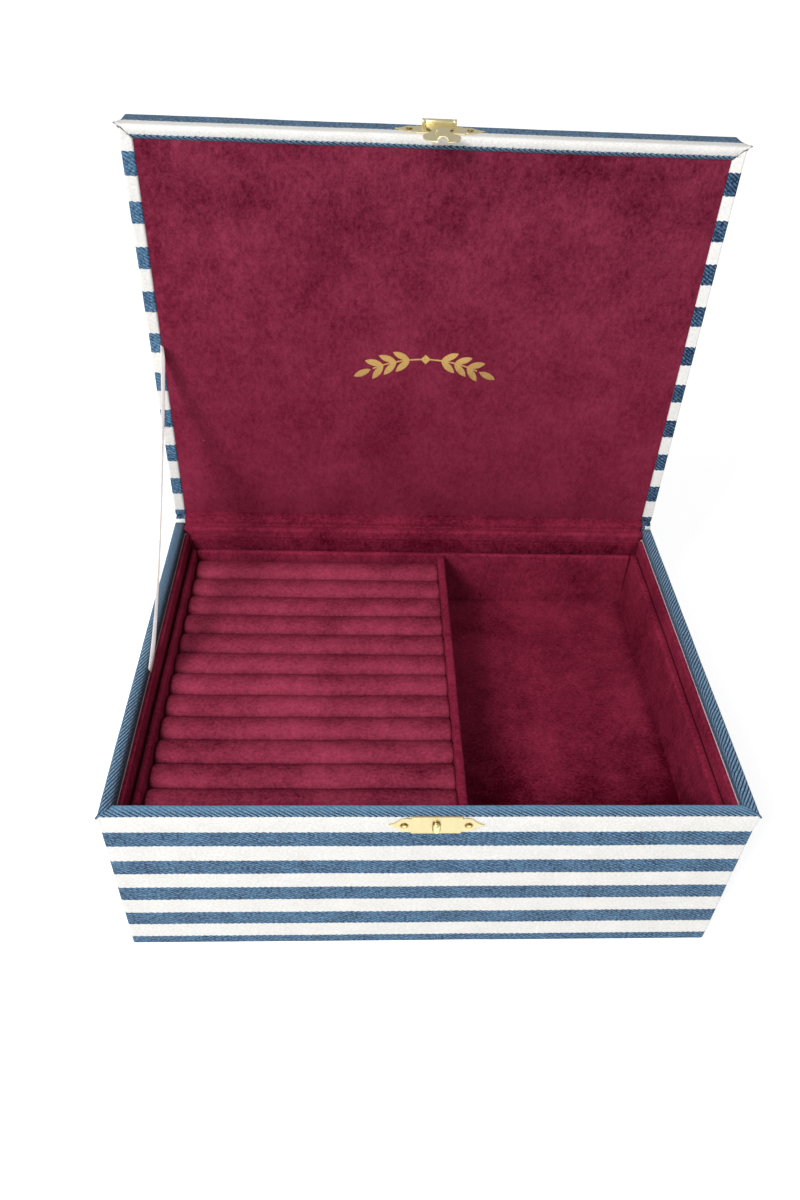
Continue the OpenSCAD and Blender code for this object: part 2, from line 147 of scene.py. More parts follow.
def rounded_block(low, high, radius, step, arc=3, bend=None):
    """Points and faces of a box with rounded edges, with enough faces to bend. bend moves a point."""
    lines = []
    for k in range(3):
        r = min(radius, (high[k] - low[k]) / 2)
        inner = [low[k] + r]
        if high[k] - low[k] > 2.02 * r:
            inner = lines_between(low[k] + r, high[k] - r, step)
        edge = [r * math.tan(math.pi / 4 * (arc - i) / arc) for i in range(arc)]
        lines.append([inner[0] - e for e in edge] + inner + [inner[-1] + e for e in reversed(edge)])
    middle = [(row[arc], row[-1 - arc]) for row in lines]
    reach = min(radius, min((high[a] - low[a]) / 2 for a in range(3)))
    index, points, faces = {}, [], []

    def corner(i, j, k):
        if (i, j, k) not in index:
            p = Vector((lines[0][i], lines[1][j], lines[2][k]))
            core = Vector([min(max(p[a], middle[a][0]), middle[a][1]) for a in range(3)])
            out = (p - core).normalized()
            p = core + out * reach
            if bend:
                p = bend(p, out)
            index[(i, j, k)] = len(points)
            points.append(p)
        return index[(i, j, k)]

    last = [len(row) - 1 for row in lines]
    for a, b, c in ((0, 1, 2), (1, 2, 0), (2, 0, 1)):
        for i in range(last[a]):
            for j in range(last[b]):
                for end in (0, last[c]):
                    ring = []
                    for di, dj in ((0, 0), (1, 0), (1, 1), (0, 1)):
                        at = [0, 0, 0]
                        at[a], at[b], at[c] = i + di, j + dj, end
                        ring.append(corner(*at))
                    faces.append(ring if end else ring[::-1])
    return points, faces


def folded_rows(outline, radius, step, arc=4):
    """Rows (a, b, way) along an outline with rounded corners. way is the length with sharp corners."""
    rows, way = [], 0.0
    for i in range(len(outline) - 1):
        here, there = Vector(outline[i]), Vector(outline[i + 1])
        length = (there - here).length
        along = (there - here) / length
        start = radius if i > 0 else 0.0
        stop = length - radius if i < len(outline) - 2 else length
        inset = min(0.4 * MM, (stop - start) / 4)
        marks = [start] + lines_between(start + inset, stop - inset, step) + [stop]
        rows += [(*(here + along * m), way + m) for m in marks]
        way += length
        if i < len(outline) - 2:
            after = (Vector(outline[i + 2]) - there).normalized()
            centre = there - along * radius + after * radius
            for k in range(1, arc):
                turn = math.pi / 2 * k / arc
                spot = centre - after * radius * math.cos(turn) + along * radius * math.sin(turn)
                rows.append((*spot, way - radius + 2 * radius * k / arc))
    return rows


def strip_faces(stations, rows, closed=False):
    """Quads of a grid of points that is stored station by station."""
    faces = []
    count = stations if closed else stations - 1
    for i in range(count):
        after = (i + 1) % stations
        for j in range(rows - 1):
            faces.append((i * rows + j, after * rows + j, after * rows + j + 1, i * rows + j + 1))
    return faces


def thicken(piece, thickness, offset=-1.0):
    """Gives a sheet its thickness, on its inner side or about its middle."""
    set_all(piece.modifiers.new("thickness", "SOLIDIFY"), thickness=thickness, offset=offset)
    return piece


# ---- Material helper ----

def srgb(r, g, b):
    """A linear colour from screen values of 0 to 255."""
    parts = [c / 255 / 12.92 if c <= 10 else ((c / 255 + 0.055) / 1.055) ** 2.4 for c in (r, g, b)]
    return (*parts, 1.0)


class Finish:
    """A material's node tree, with short calls that each return an output socket."""

    def __init__(self, name, **settings):
        self.material = bpy.data.materials.new(name)
        self.material.use_nodes = True
        self.tree = self.material.node_tree
        self.shader = self.tree.nodes["Principled BSDF"]
        for key, value in settings.items():
            self.shader.inputs[key.replace("_", " ")].default_value = value

    def add(self, kind, inputs, output=0, **settings):
        made = set_all(self.tree.nodes.new(kind), **settings)
        for key, value in inputs.items():
            self.plug(made.inputs[key], value)
        return made.outputs[output]

    def plug(self, socket, value):
        if isinstance(value, bpy.types.NodeSocket):
            self.tree.links.new(value, socket)
        else:
            socket.default_value = value

    def math(self, operation, a, b=0.0):
        return self.add("ShaderNodeMath", {0: a, 1: b}, operation=operation)

    def times(self, a, b):
        return self.math("MULTIPLY", a, b)

    def sum(self, *shares):
        """Adds up pairs of (socket, weight)."""
        total = 0.0
        for socket, weight in shares:
            total = self.math("ADD", self.times(socket, weight), total)
        return total

    def ramp(self, value, low, high, to_low=0.0, to_high=1.0):
        return self.add("ShaderNodeMapRange", {0: value, 1: low, 2: high, 3: to_low, 4: to_high})

    def mix(self, share, a, b):
        return self.add("ShaderNodeMix", {0: share, 6: a, 7: b}, 2, data_type="RGBA")

    def noise(self, vector, scale, detail=2.0, roughness=0.5):
        inputs = {"Vector": vector, "Scale": scale, "Detail": detail, "Roughness": roughness}
        return self.add("ShaderNodeTexNoise", inputs)

    def ridges(self, value):
        """A smooth wave from 0 to 1 that repeats at each whole number."""
        turned = self.math("COSINE", self.times(value, 2 * math.pi))
        return self.sum((turned, -0.5), (1.0, 0.5))

    def place(self):
        return self.add("ShaderNodeTexCoord", {}, "Object")

    def cloth(self):
        """The coordinates of the unrolled cloth, in mm."""
        return self.add("ShaderNodeUVMap", {}, uv_map="cloth")

    def mark(self, name):
        """The number that make_object gave to each point under this name."""
        return self.add("ShaderNodeAttribute", {}, 2, attribute_name=name)

    def split(self, vector):
        """The x, y and z of a vector."""
        return self.add("ShaderNodeSeparateXYZ", {0: vector}).node.outputs

    def stretched(self, vector, scale):
        return self.add("ShaderNodeMapping", {"Vector": vector, "Scale": scale})

    def colour(self, socket):
        self.tree.links.new(socket, self.shader.inputs["Base Color"])

    def roughness(self, socket):
        self.tree.links.new(socket, self.shader.inputs["Roughness"])

    def bump(self, height, distance, strength=1.0):
        inputs = {"Height": height, "Distance": distance, "Strength": strength}
        self.tree.links.new(self.add("ShaderNodeBump", inputs), self.shader.inputs["Normal"])


# ---- Materials ----

# Lengths on the cloth, such as its stripes, weave and shifts, are plain numbers of mm.
STRIPE_PERIOD = 19.5
DENIM_SHARE = 0.485
TWILL_PITCH = 1.35
TWILL_LEAN = math.radians(32)
YARN_PITCH = 0.6
GROSGRAIN_PITCH = 0.8
NAIL_RING = 0.6 * MM


def twill_weave(m, along, across, cloth):
    """(rib wave, yarn wave, fuzz, height) of a twill that leans like a backslash."""
    wander = m.noise(cloth, 0.06, 3.0)
    rib = m.ridges(m.sum((along, math.sin(TWILL_LEAN) / TWILL_PITCH),
                         (across, math.cos(TWILL_LEAN) / TWILL_PITCH), (wander, 1.2)))
    yarn = m.ridges(m.sum((along, 0.9 / YARN_PITCH), (across, -0.4 / YARN_PITCH), (wander, 3.0)))
    fuzz = m.noise(cloth, 5.0, 3.0, 0.7)
    height = m.sum((rib, 0.7), (m.times(rib, yarn), 0.3), (fuzz, 0.25))
    return rib, yarn, fuzz, height


def striped_twill():
    """Cream and denim stripes across a twill. The mark fold says how far the ribs open up, as on a rim,
    and how much painted light they get: painted highlights on the ribs and a lighter tone. Below 0 the two
    colours part more, with painted shade on the blue and painted light on the cream. seam draws
    thin lines at the mitres and painted shade on the corner tips, and shade paints shade on the cloth."""
    m = Finish("striped_twill", Roughness=0.9, Specular_IOR_Level=0.15, Sheen_Weight=0.08,
               Sheen_Roughness=0.5)
    cloth = m.cloth()
    along, across = m.split(cloth)[:2]
    rib, yarn, fuzz, height = twill_weave(m, along, across, cloth)
    patch = m.noise(cloth, 0.09, 4.0, 0.6)
    slub = m.noise(m.stretched(cloth, (0.3, 2.2, 1.0)), 1.0, 2.0)
    grain = m.ramp(m.noise(cloth, 0.85, 2.0, 0.6), 0.32, 0.68)
    fold = m.mark("fold")
    seam = m.mark("seam")
    shade = m.mark("shade")
    open_ribs = m.times(m.ramp(fold, 0.4, 1.0, 0.3, 1.7), m.ramp(grain, 0.0, 1.0, 0.15, 1.5))
    # Painted light: a lighter tone where fold is above 0, and a darker blue below 0.
    lit = m.ramp(fold, -0.45, 0.45, -0.5, 0.5)

    ragged = m.sum((across, 1.0), (rib, 0.3), (m.noise(cloth, 0.9, 2.0), 0.6), (0.45, -1.0))
    turn = m.math("FRACT", m.sum((ragged, 1 / STRIPE_PERIOD), (0.25, 1.0)))
    half_stripe = DENIM_SHARE / 2
    from_centre = m.math("SUBTRACT", turn, 0.25 + half_stripe)
    soft = 0.08 / STRIPE_PERIOD
    denim = m.ramp(m.math("ABSOLUTE", from_centre), half_stripe - soft, half_stripe + soft, 1.0, 0.0)
    # A dark line along the denim's lower edge on rims: dark yarn ends and painted shade of the rim's bend.
    low_edge = m.ramp(from_centre, -half_stripe, -half_stripe + 0.5 / STRIPE_PERIOD, 1.0, 0.0)

    # The ribs' light and dark lines in the colour, stronger on rims: the twill's own lines with painted
    # highlights and shade of raking light.
    ribbed = m.times(m.math("SUBTRACT", rib, 0.5), open_ribs)
    tone = m.sum((ribbed, 1.4), (yarn, 0.1), (grain, 0.6), (slub, 0.5), (patch, 0.5), (lit, 1.0),
                 (m.times(low_edge, fold), -1.0), (0.52, -1.0))
    blue = m.mix(tone, srgb(12, 33, 62), srgb(108, 152, 186))
    # Pale flecks on the rims' ribs: weft showing through, with painted highlights.
    flecks = m.ramp(m.times(m.times(grain, rib), fold), 0.25, 0.75, 0.0, 0.75)
    blue = m.mix(flecks, blue, srgb(176, 204, 224))
    # Whites, with painted light where fold is below 0 and where it is high, as on the lid's front edge.
    pale = m.sum((ribbed, 0.15), (fuzz, 0.3), (grain, 0.4), (patch, 0.5),
                 (m.ramp(fold, -0.15, 0.0, 0.35, 0.0), 1.0), (m.ramp(fold, 0.0, 0.8, -0.1, 0.15), 1.0))
    white = m.mix(pale, srgb(192, 190, 186), srgb(230, 229, 226))
    # Painted shade on the turned-in cloth and on the rims' inner bands, from the mark shade.
    striped = m.mix(m.times(shade, 0.85), m.mix(denim, white, blue), srgb(26, 30, 46))
    # Thin grey lines along the mitres, and painted shade on the corner tips.
    m.colour(m.mix(m.ramp(seam, 0.55, 1.0, 0.0, 0.8), striped, srgb(62, 60, 62)))
    relief = m.times(height, m.ramp(denim, 0.0, 1.0, 0.2, 1.0))
    m.bump(m.sum((m.times(relief, open_ribs), 1.0), (grain, 0.25)), 0.3 * MM)
    return m.material


def burgundy_suede(name, dark, light, rise=None, rolled=False):
    """Faux suede: brushed nap in lighter and darker patches, fine fibres and a few pale dust specks. The
    mark dim says how much painted shade darkens it. rise is the (low, high) height over which
    painted light turns it from lighter and redder low down to darker high up. On the rolls painted light
    makes it lighter in front and painted shade darkens the creases."""
    m = Finish(name, Specular_IOR_Level=0.05, Sheen_Weight=0.1, Sheen_Roughness=0.6,
               Sheen_Tint=srgb(190, 70, 100))
    place = m.place()
    wide = m.noise(place, 30.0, 3.0, 0.5)
    patch = m.noise(place, 150.0, 5.0, 0.75)
    brushed = m.noise(m.stretched(place, (520.0, 1000.0, 330.0)), 1.0, 2.0, 0.6)
    fibre = m.noise(place, 1000.0, 2.0, 0.6)
    nap = m.sum((wide, 1.0), (patch, 0.8), (brushed, 0.75), (fibre, 0.7), (1.13, -1.0))
    # Painted shade where the mark dim is set.
    nap = m.sum((nap, 1.0), (m.mark("dim"), -0.7))
    # Painted light on the panel: lighter low down and darker high up.
    if rise:
        up = m.split(place)[2]
        nap = m.sum((nap, 1.0), (m.ramp(up, *rise, 0.14, -0.1), 1.0))
    # Painted light on the rolls' fronts and painted shade in their creases.
    if rolled:
        front = m.mark("front")
        aside = m.math("ABSOLUTE", m.math("SUBTRACT", front, 0.5))
        nap = m.sum((nap, 1.0), (m.ramp(front, 0.05, 0.85, -0.2, 0.22), 1.0),
                    (m.ramp(aside, 0.455, 0.497, 0.0, -0.8), 1.0))
    body = m.mix(nap, dark, light)
    # Painted light: a redder tone low down on the panel.
    if rise:
        body = m.mix(m.ramp(up, *rise, 0.35, 0.0), body, srgb(122, 16, 48))
    speck = m.add("ShaderNodeTexVoronoi", {"Vector": place, "Scale": 62.0})
    dust = m.ramp(speck, 0.012, 0.02, 0.45, 0.0)
    m.colour(m.mix(dust, body, srgb(214, 168, 172)))
    m.roughness(m.ramp(nap, 0.0, 1.0, 0.98, 0.85))
    m.bump(m.sum((patch, 0.6), (brushed, 0.3), (fibre, 0.5)), 0.4 * MM, 0.8)
    return m.material


def brass_sheet(name, dull, bright):
    """Stamped brass sheet: brushed lightly, tarnished in patches and round the base plate's nails, and
    lighter along its rubbed edges."""
    m = Finish(name, Metallic=1.0, Specular_IOR_Level=0.5)
    place = m.place()
    tarnish = m.noise(place, 420.0, 4.0, 0.6)
    brushed = m.noise(m.stretched(place, (500.0, 4200.0, 4200.0)), 1.0, 2.0)
    edge = m.ramp(m.add("ShaderNodeNewGeometry", {}, "Pointiness"), 0.46, 0.56)
    base = m.mix(m.times(edge, 0.6), m.mix(tarnish, dull, bright), srgb(244, 232, 188))
    low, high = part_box("clasp_base_nails")
    radius = (high.z - low.z) / 2
    parts = m.split(place)
    aside = m.math("SUBTRACT", parts[0], (low.x + high.x) / 2)
    aside = m.math("SUBTRACT", m.math("ABSOLUTE", aside), (high.x - low.x) / 2 - radius)
    up = m.math("SUBTRACT", parts[2], (low.z + high.z) / 2)
    away = m.math("SQRT", m.math("ADD", m.times(aside, aside), m.times(up, up)))
    ring = m.ramp(away, radius + 0.1 * MM, radius + NAIL_RING, 0.85, 0.0)
    m.colour(m.mix(ring, base, srgb(150, 112, 44)))
    m.roughness(m.sum((tarnish, 0.25), (brushed, 0.12), (0.16, 1.0)))
    m.bump(m.sum((tarnish, 0.7), (brushed, 0.3)), 0.06 * MM, 0.6)
    return m.material


def domed_brass(name, outward, aside, ahead):
    """Brass of a raised head, with tarnish in patches, a painted highlight where it faces outward and
    painted shade round its sides. aside and ahead are the cosines at which it is fully dark and fully
    bright."""
    m = Finish(name, Metallic=1.0, Specular_IOR_Level=0.5)
    normal = m.add("ShaderNodeTexCoord", {}, "Normal")
    facing = m.add("ShaderNodeVectorMath", {0: normal, 1: outward}, "Value", operation="DOT_PRODUCT")
    tarnish = m.noise(m.place(), 900.0, 3.0, 0.6)
    # Painted highlight where the head faces outward and painted shade round its sides, with tarnish in
    # patches.
    tarnish_and_light = m.sum((m.ramp(facing, aside, ahead), 1.0), (tarnish, 0.5), (0.25, -1.0))
    m.colour(m.mix(tarnish_and_light, srgb(118, 84, 26), srgb(244, 228, 168)))
    m.roughness(m.sum((tarnish, 0.2), (0.22, 1.0)))
    m.bump(tarnish, 0.05 * MM, 0.6)
    return m.material


def gold_foil():
    """Pressed gold foil that follows the nap a little."""
    m = Finish("gold_foil", Metallic=1.0)
    place = m.place()
    crinkle = m.noise(place, 900.0, 3.0, 0.6)
    m.colour(m.mix(crinkle, srgb(196, 148, 74), srgb(246, 214, 140)))
    m.roughness(m.ramp(crinkle, 0.2, 0.8, 0.22, 0.5))
    m.bump(crinkle, 0.12 * MM, 0.8)
    return m.material


def cream_ribbon():
    """Grosgrain ribbon: fine ribs across it and a plain woven edge."""
    # The weak emission is painted light: a faint glow that lightens the ribbon's shaded side.
    m = Finish("cream_ribbon", Roughness=0.6, Sheen_Weight=0.1, Specular_IOR_Level=0.3,
               Subsurface_Weight=0.8, Subsurface_Scale=4 * MM, Subsurface_Radius=(1.0, 1.0, 0.95),
               Emission_Color=srgb(255, 248, 232), Emission_Strength=0.05)
    cloth = m.cloth()
    across, along = m.split(cloth)[:2]
    ribs = m.ridges(m.times(along, 1 / GROSGRAIN_PITCH))
    edge = m.ramp(m.math("ABSOLUTE", across), 4.1, 4.4)
    weave = m.noise(cloth, 3.0, 2.0)
    shade = m.sum((ribs, 0.3), (weave, 0.5), (edge, 0.2))
    m.colour(m.mix(shade, srgb(244, 239, 224), srgb(255, 252, 240)))
    m.bump(m.sum((ribs, 0.8), (weave, 0.2)), 0.08 * MM)
    return m.material


def card(name, low, high, fibre_scale):
    """Card, board or paper: a mottled pulp with short fibres."""
    m = Finish(name, Roughness=0.92, Specular_IOR_Level=0.2)
    place = m.place()
    pulp = m.noise(place, fibre_scale, 5.0, 0.65)
    fibre = m.noise(m.stretched(place, (1.0, 0.3, 1.0)), fibre_scale * 6, 2.0, 0.7)
    m.colour(m.mix(m.sum((pulp, 0.7), (fibre, 0.5), (0.1, -1.0)), low, high))
    m.bump(m.sum((pulp, 0.5), (fibre, 0.5)), 0.08 * MM, 0.6)
    return m.material


twill = striped_twill()
suede = burgundy_suede("burgundy_suede", srgb(74, 1, 22), srgb(156, 47, 76))
# A lighter copy of the suede for the rolls, with painted light on their fronts and painted shade in their
# creases.
roll_suede = burgundy_suede("roll_suede", srgb(72, 2, 22), srgb(160, 58, 84), rolled=True)
panel_low, panel_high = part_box("lid_lining_pad")
# The panel's suede paints light: lighter and redder low down, darker high up.
panel_suede = burgundy_suede("panel_suede", srgb(68, 3, 24), srgb(137, 50, 74),
                             rise=(panel_low.z, panel_high.z))
# lid_brass is a lighter copy of plate_brass: painted light on the lid's plate, pin and flap.
plate_brass = brass_sheet("plate_brass", srgb(180, 160, 104), srgb(212, 202, 156))
lid_brass = brass_sheet("lid_brass", srgb(212, 192, 134), srgb(248, 238, 194))
nail_brass = domed_brass("nail_brass", (0.0, -1.0, 0.0), 0.75, 0.98)
lid_nail_brass = domed_brass("lid_nail_brass", (0.0, 0.0, 1.0), 0.6, 0.95)
catch_brass = domed_brass("catch_brass", (0.0, -0.9, 0.43), 0.2, 0.75)
foil = gold_foil()
ribbon_cloth = cream_ribbon()
grey_board = card("grey_board", srgb(132, 128, 122), srgb(176, 171, 164), 300.0)
cream_card = card("cream_card", srgb(188, 150, 156), srgb(224, 200, 202), 500.0)
under_paper = card("underside_paper", srgb(222, 217, 206), srgb(244, 241, 233), 350.0)
foam = card("foam", srgb(190, 184, 172), srgb(228, 222, 210), 700.0)


# ---- Base covering ----

CORNER_R = 1.1 * MM
TURN_STEPS = (0.25, 0.5, 0.75)
NEAR_CORNER = 8 * MM
NEAR_STEP = 0.8 * MM
FAR_STEP = 5 * MM
CLOTH_RIPPLE = 0.12 * MM
SEAM_DROP = 0.3 * MM
RIM_FADE = 2.5 * MM
RIM_END = 0.8 * MM
# Painted shade, by side: BASE_SHADE on the turn-in, which starts BASE_BAND early so that it covers the
# rim's inner band.
BASE_BAND = {"left": 1.5 * MM, "right": 1.5 * MM}
# Painted light on the front rim: FRONT_RIBS_AND_LIGHT on most of it, rising to full near its outer edge
# over about FRONT_EDGE.
FRONT_RIBS_AND_LIGHT = 0.4
FRONT_EDGE = 1.6 * MM
BASE_SHADE = {"left": 0.95, "front": 0.6, "right": 0.25, "turn": 0.5}
EAR = 1.0 * MM
EAR_REACH = 3.0 * MM
TURN_IN_SHORT = 1.0 * MM
BACK_CLOTH_DROP = 0.2 * MM
BASE_STRIPE_FROM = 92.4
BASE_STRIPE_PERIOD = 19.27


def side_marks(low, high, ends_at_corner=True):
    """Places along a side, closer together beside its corners."""
    start = low + NEAR_CORNER
    stop = high - (NEAR_CORNER if ends_at_corner else 0.0)
    marks = lines_between(low, start, NEAR_STEP)[:-1] + lines_between(start, stop, FAR_STEP)
    if ends_at_corner:
        marks += lines_between(stop, high, NEAR_STEP)[1:]
    return marks


def ripple(point, amount, seed=0.0):
    """Moves a point of glued cloth by the small unevenness of its board and glue."""
    wide = Vector([wave(point, 30 * MM, seed + k) for k in (1, 2, 3)])
    fine = Vector([wave(point, 7 * MM, seed + k) for k in (4, 5, 6)])
    return point + wide * amount + fine * amount * 0.5


def rim_share(past):
    """How much a place is part of the rim, from the length of cloth past the rim's outer edge."""
    return clamp(1 + past / RIM_FADE) * clamp(1 - (past - WALL_T) / RIM_END)


def turned_in(past):
    """0 on the rim and 1 on the cloth's turned-in strip inside it."""
    return clamp(0.5 + (past - WALL_T) / RIM_END)


def base_across(way):
    """Cloth coordinate across the base's stripes, from the mm of cloth above the base's foot."""
    return (way - BASE_STRIPE_FROM) * STRIPE_PERIOD / BASE_STRIPE_PERIOD


def base_wrap():
    """One strip of cloth over the left, front and right walls, folded over the rim with mitred corners.
    Its path runs from the back of the left wall to the back of the right one."""
    outline = [(0.0, 0.0), (0.0, BASE_H), (WALL_T, BASE_H), (WALL_T, TURN_IN_Z)]
    rows = folded_rows(outline, FOLD_R, 7 * MM)
    marks_y = side_marks(-HALF_D + CORNER_R, HALF_D, ends_at_corner=False)
    path = [("left", y) for y in reversed(marks_y)]
    path += [("turn", (-1, t)) for t in TURN_STEPS]
    path += [("front", x) for x in side_marks(-HALF_W + CORNER_R, HALF_W - CORNER_R)]
    path += [("turn", (1, t)) for t in TURN_STEPS]
    path += [("right", y) for y in marks_y]

    def place(side, at, d):
        """(x, y, is it on the mitre) of a path point at distance d inside the outer face."""
        limit_x, limit_y = HALF_W - d, -HALF_D + d
        if side == "front":
            x = min(max(at, -limit_x), limit_x)
            return x, limit_y, abs(x - at) > 0
        if side in ("left", "right"):
            end = HALF_D - TURN_IN_SHORT if d > WALL_T - CLOTH_T / 10 else HALF_D
            return (-limit_x if side == "left" else limit_x), min(max(at, limit_y), end), limit_y > at
        sign, t = at
        if d >= CORNER_R:
            return sign * limit_x, limit_y, True
        turn = math.pi / 2 * (t if sign < 0 else 1 - t)
        reach = CORNER_R - d
        x = HALF_W - CORNER_R + reach * math.cos(turn)
        y = -HALF_D + CORNER_R - reach * math.sin(turn)
        return sign * x, y, False

    points, plans, folds, seams, shades = [], [], [], [], []
    for side, at in path:
        for d, z, way in rows:
            x, y, mitred = place(side, at, d)
            drop = SEAM_DROP if mitred and z > BASE_H - FOLD_R else 0.0
            # At the front corners the cloth's tips are pushed out, and seam paints shade on them. Along the
            # mitres it draws thin joins.
            ear = max(0.0, 1 - abs(way - BASE_H) / EAR_REACH) if side == "turn" else 0.0
            push = Vector((at[0] if ear else 0.0, -1.0, -0.7)) * ear * EAR
            plans.append((x, y, way / MM))
            at_edge = clamp(1.5 - abs(way - BASE_H) / FRONT_EDGE) if side == "front" else 1.0
            folds.append(rim_share(way - BASE_H) * (FRONT_RIBS_AND_LIGHT + (1 - FRONT_RIBS_AND_LIGHT) * at_edge))
            seams.append(1.0 if mitred and way > BASE_H + FOLD_R else ear)
            shades.append(turned_in(way - BASE_H + BASE_BAND.get(side, 0.0)) * BASE_SHADE[side])
            points.append(ripple(Vector((x, y, z - drop)) + push, CLOTH_RIPPLE))
    faces = strip_faces(len(path), len(rows))

    def unroll(vertex, side):
        x, y, way = plans[vertex]
        along = {"left": -y - HALF_D - HALF_W, "front": x, "right": y + HALF_D + HALF_W}[side] / MM
        return along, base_across(way)

    def side_of(station):
        side, at = path[station]
        if side != "turn":
            return side
        first, second = ("left", "front") if at[0] < 0 else ("front", "right")
        return first if at[1] < 0.5 else second

    uvs = []
    for face in faces:
        side = side_of(face[0] // len(rows))
        uvs.append([unroll(v, side) for v in face])
    return thicken(make_object("base_wrap", points, faces, uvs, fold=folds, seam=seams, shade=shades),
                   CLOTH_T)


def base_back():
    """The glued rectangle of cloth on the back, with slightly rolled edges."""
    low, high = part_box("base_back_cloth")
    high = Vector((high.x, high.y, BASE_H - BACK_CLOTH_DROP))
    points, faces = rounded_block(low, high, 0.3 * MM, 6 * MM, 2, lambda p, out: ripple(p, 0.1 * MM, 3.0))
    uvs = [[(-points[v].x / MM, base_across(points[v].z / MM)) for v in face] for face in faces]
    return make_object("base_back", points, faces, uvs)


finish_piece(base_wrap(), "base", twill, "striped_twill", "base_wrap_cloth")
finish_piece(base_back(), "base", twill, "striped_twill", "base_back_cloth")


# ---- Lid covering ----

LID_STRIPE_FROM = 193.3
LID_STRIPE_PERIOD = 19.8
LID_STRETCH = 1.0055
EDGE_SHIFT = 0.7
EDGE_SHIFT_OVER = 2
SIDE_SLIP = 0.75
SIDE_SLIP_FROM = 150
SIDE_SLIP_OVER = 8
# Painted shade, by side: LID_SHADE on the turn-in, which starts LID_BAND early on the front.
LID_SHADE = {"front": 0.75, "left": 0.3, "right": 0.15, "hinge": 0.0}
CORNER_SHADE = 0.3
LID_BAND = 1.4 * MM
# Painted light on the lid's rims by side; below 0 the blue is darker and the cream lighter.
LID_RIBS_AND_LIGHT = {"front": 0.8, "left": 0.05, "right": -0.15}
LID_EAR = 1.8 * MM
LID_TURN_IN = 6 * MM
HINGE_LIP = 0.8 * MM


def lid_wrap():
    """The lid's covering in one piece: outer face, four edges, rim and turn-in, mitred at its corners.
    Its path runs round the lid, and its rows run from the middle of the outer face to the turn-in."""
    half = LID_L / 2
    edge_way = half + LID_T
    outline = [(half, LID_T), (0.0, LID_T), (0.0, 0.0), (WALL_T, 0.0), (WALL_T, LID_TURN_IN)]
    rows = folded_rows(outline, FOLD_R, 12 * MM)
    marks_l = side_marks(CORNER_R, LID_L - CORNER_R)
    marks_x = side_marks(-HALF_W + CORNER_R, HALF_W - CORNER_R)
    marks = {"left": marks_l, "front": marks_x, "right": marks_l[::-1], "hinge": marks_x[::-1]}
    path = []
    for side, after in (("left", "front"), ("front", "right"), ("right", "hinge"), ("hinge", "left")):
        path += [(side, at) for at in marks[side]]
        path += [((side, after), t) for t in TURN_STEPS]

    def place(side, at, d, way):
        """(x, l, is it on a mitre) of a path point. At the hinge the cloth stops just over the edge."""
        left, right = -HALF_W + d, HALF_W - d
        low, high = (min(d, HINGE_LIP) if way > edge_way - FOLD_R else d), LID_L - d
        if side in ("left", "right"):
            spot = min(max(at, low), high)
            return (left if side == "left" else right), spot, spot != at
        if side in ("front", "hinge"):
            spot = min(max(at, left), right)
            return spot, (high if side == "front" else low), spot != at
        x = left if "left" in side else right
        spot = high if "front" in side else low
        if d >= CORNER_R:
            return x, spot, True
        turn = math.pi / 2 * at
        lead, trail = math.cos(turn), math.sin(turn)
        if side[0] in ("front", "hinge"):
            lead, trail = trail, lead
        reach = CORNER_R - d
        x = HALF_W - CORNER_R + reach * lead
        spot = CORNER_R - reach * trail
        return (-x if "left" in side else x), (LID_L - spot if "front" in side else spot), False

    points, plans, folds, seams, shades = [], [], [], [], []
    for side, at in path:
        for d, t, way in rows:
            x, spot, mitred = place(side, at, d, way)
            past = way - edge_way
            on_rim = way > edge_way + FOLD_R / 2
            drop = SEAM_DROP if mitred and on_rim and t < FOLD_R else 0.0
            if on_rim and side == "hinge":
                t = min(t, HINGE_LIP)
            # At the lid's front corners the tips are pushed out and get painted shade through seam.
            at_ear = "front" in side and side != "front"
            ear = max(0.0, 1 - abs(past) / EAR_REACH) if at_ear else 0.0
            push = Vector((-1.0 if "left" in side else 1.0, -0.6, 0.6)) * ear * LID_EAR
            plans.append((x, spot, way))
            folds.append(rim_share(past) * LID_RIBS_AND_LIGHT.get(side, 0.0))
            seams.append(1.0 if mitred and on_rim else ear)
            band = LID_BAND if side == "front" else 0.0
            shades.append(turned_in(past + band) * LID_SHADE.get(side, CORNER_SHADE))
            points.append(ripple(Vector((x, RIM_Y + t + drop, LID_Z + spot)) + push, CLOTH_RIPPLE, 9.0))
    faces = [face[::-1] for face in strip_faces(len(path), len(rows), True)]

    def cloth_l(spot):
        """Length from the hinge edge in the mm of the cloth, which is a little stretched."""
        return LID_L / MM - (LID_L - spot) / MM / LID_STRETCH

    def unroll(vertex, side, on_face):
        """Cloth coordinates. On the edges the stripes run on from the outer face, a little shifted."""
        x, spot, way = plans[vertex]
        along, across = -x / MM, cloth_l(spot)
        past = (way - half) / MM
        if side in ("left", "right") and not on_face:
            along = (HALF_W / MM + past) * (1 if side == "left" else -1)
            across += SIDE_SLIP * clamp((spot / MM - SIDE_SLIP_FROM) / SIDE_SLIP_OVER)
        elif side == "front" and not on_face:
            shift = EDGE_SHIFT * clamp((past - LID_T / MM + EDGE_SHIFT_OVER) / EDGE_SHIFT_OVER)
            across = LID_L / MM + past + shift
        elif side == "hinge" and not on_face:
            across = -past
        return along, (across - LID_STRIPE_FROM) * STRIPE_PERIOD / LID_STRIPE_PERIOD

    def side_of(station):
        side, at = path[station]
        return side if isinstance(side, str) else side[0 if at < 0.5 else 1]

    uvs = []
    for face in faces:
        side = side_of(face[-1] // len(rows))
        on_face = max(plans[v][2] for v in face) <= half + FOLD_R * 0.01
        uvs.append([unroll(v, side, on_face) for v in face])
    return thicken(make_object("lid_wrap", points, faces, uvs, fold=folds, seam=seams, shade=shades),
                   CLOTH_T)


